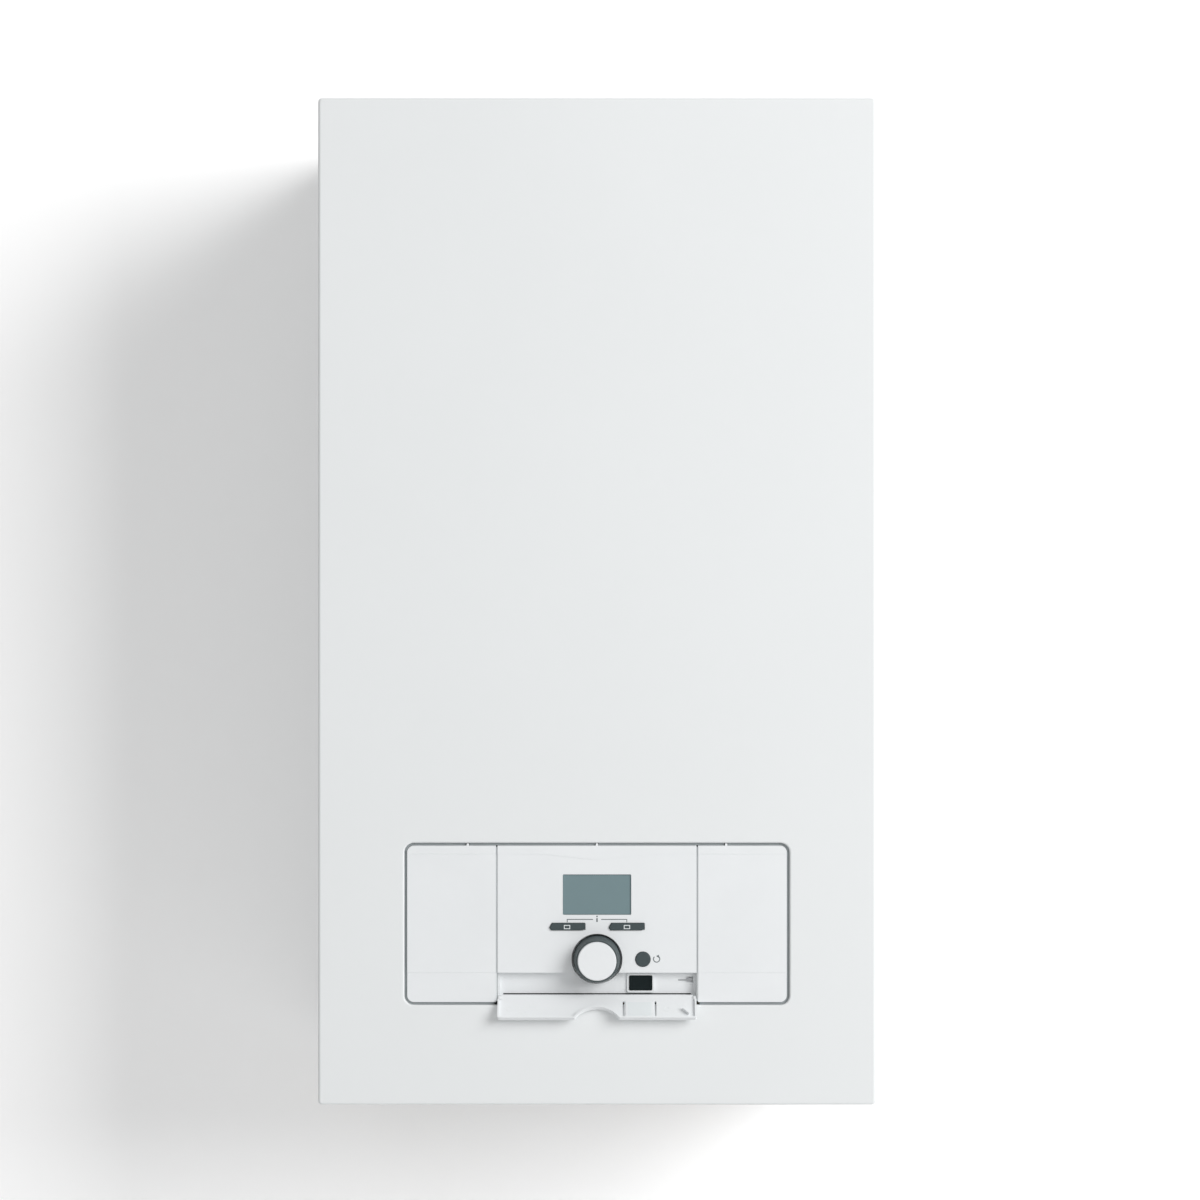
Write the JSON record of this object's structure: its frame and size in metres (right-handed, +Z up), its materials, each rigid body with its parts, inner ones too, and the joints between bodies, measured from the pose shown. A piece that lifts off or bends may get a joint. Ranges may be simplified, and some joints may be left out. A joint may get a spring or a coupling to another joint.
{
  "type": "electric boiler",
  "caption": "Wall-hung electric heating boiler: white folded casing, control panel with display, knob, keys and fold-down flap, and the tank, pump, vessel and power parts inside",
  "frame": {"origin": "centre of the wall bracket's two screw holes, on the wall plane", "axes": "+Z up, +Y into the wall, +X to the right as seen from the front, so the front faces -Y"},
  "size_m": [0.41, 0.3244, 0.758],
  "materials": {
    "white_steel": "white powder coat, fine orange peel",
    "white_plastic": "white moulded plastic, satin",
    "grey_plastic": "dark grey moulded plastic, satin",
    "black_plastic": "black moulded plastic, satin",
    "relay_plastic": "light grey moulded plastic",
    "display_lens": "clear glossy lens",
    "display_panel": "blue-grey liquid-crystal panel, switched off",
    "circuit_board": "green solder mask",
    "zinc_steel": "galvanised steel sheet",
    "bolt_steel": "zinc-plated fasteners",
    "tank_steel": "plain steel",
    "vessel_paint": "red stove enamel",
    "brass": "machined brass",
    "copper": "drawn copper",
    "pump_iron": "dark painted castings",
    "black_foam": "closed-cell foam",
    "seal_rubber": "flat rubber seals"
  },
  "bodies": {
    "boiler": {"air_vent": "brass", "back_panel": "zinc_steel", "base_channel": "zinc_steel", "bottom_plate": "zinc_steel", "cable_glands": "black_plastic", "casing_screws": "bolt_steel", "contactor_plate": "zinc_steel", "contactors": "relay_plastic", "control_board": "circuit_board", "control_box": "black_plastic", "control_brackets": "zinc_steel", "control_fascia": "white_plastic", "crossbars": "zinc_steel", "discharge_pipe": "copper", "display_module": "display_panel", "display_window": "display_lens", "drain_cock": "brass", "expansion_vessel": "vessel_paint", "flange_bolts": "bolt_steel", "flow_pipe": "copper", "flow_stub": "brass", "front_casing": "white_steel", "hanger_rail": "zinc_steel", "heat_exchanger": "tank_steel", "heater_flange": "tank_steel", "heating_elements": "tank_steel", "insulation_front": "black_foam", "insulation_rear": "black_foam", "on_off_switch": "black_plastic", "pipe_nuts": "brass", "pressure_sensor": "brass", "pump_motor": "pump_iron", "pump_volute": "pump_iron", "return_manifold": "brass", "riser_pipe": "copper", "rotary_encoder": "black_plastic", "safety_valve": "brass", "seals": "seal_rubber", "side_blank_left": "white_plastic", "side_blank_right": "white_plastic", "side_panel_left": "white_steel", "side_panel_right": "white_steel", "tank_bands": "zinc_steel", "temperature_limiter": "black_plastic", "terminal_block": "relay_plastic", "top_panel": "white_steel", "vessel_pipe": "copper", "wall_bracket": "zinc_steel"},
    "knob": {"knob_body": "grey_plastic", "knob_cap": "white_plastic", "knob_shaft": "bolt_steel"},
    "flap_body": {"flap": "white_plastic"},
    "left_key": {"softkey_left": "grey_plastic"},
    "right_key": {"softkey_right": "grey_plastic"},
    "reset_key": {"reset_button": "grey_plastic"},
    "on_off_key": {"on_off_button": "black_plastic"},
    "impeller": {"pump_rotor": "bolt_steel"},
    "relief_cap": {"safety_valve_cap": "black_plastic"},
    "drain_lever": {"drain_spindle": "black_plastic"},
    "vent_cap": {"air_vent_cap": "black_plastic"}
  },
  "joints": [
    {"name": "knob_turn", "type": "hinge", "parent": "boiler", "child": "knob", "pos_m": [0, -0.3092, -0.563], "axis": [0, 1, 0], "continuous": true},
    {"name": "flap_hinge", "type": "hinge", "parent": "boiler", "child": "flap_body", "pos_m": [0, -0.3078, -0.5917], "axis": [1, 0, 0], "range_deg": [-142, 0]},
    {"name": "left_key_press", "type": "slide", "parent": "boiler", "child": "left_key", "axis": [0, 1, 0], "range_m": [0, 0.0007], "stiffness_N_per_m": 1500, "springref_m": -0.0005},
    {"name": "right_key_press", "type": "slide", "parent": "boiler", "child": "right_key", "axis": [0, 1, 0], "range_m": [0, 0.0007], "stiffness_N_per_m": 1500, "springref_m": -0.0005},
    {"name": "reset_press", "type": "slide", "parent": "boiler", "child": "reset_key", "axis": [0, 1, 0], "range_m": [0, 0.0008], "stiffness_N_per_m": 1500, "springref_m": -0.0005},
    {"name": "on_off_press", "type": "slide", "parent": "boiler", "child": "on_off_key", "axis": [0, 1, 0], "range_m": [0, 0.0025], "stiffness_N_per_m": 700, "springref_m": -0.001},
    {"name": "impeller_spin", "type": "hinge", "parent": "boiler", "child": "impeller", "pos_m": [0.08, -0.13, -0.475], "axis": [0, 1, 0], "continuous": true},
    {"name": "relief_cap_turn", "type": "hinge", "parent": "boiler", "child": "relief_cap", "pos_m": [-0.008, -0.11, -0.584], "axis": [1, 0, 0], "range_deg": [0, 90]},
    {"name": "drain_turn", "type": "hinge", "parent": "boiler", "child": "drain_lever", "pos_m": [0.112, -0.11, -0.584], "axis": [0, 1, 0], "range_deg": [0, 90]},
    {"name": "vent_cap_turn", "type": "hinge", "parent": "boiler", "child": "vent_cap", "pos_m": [-0.095, -0.195, 0.015], "axis": [0, 0, 1], "range_deg": [0, 360]}
  ]
}
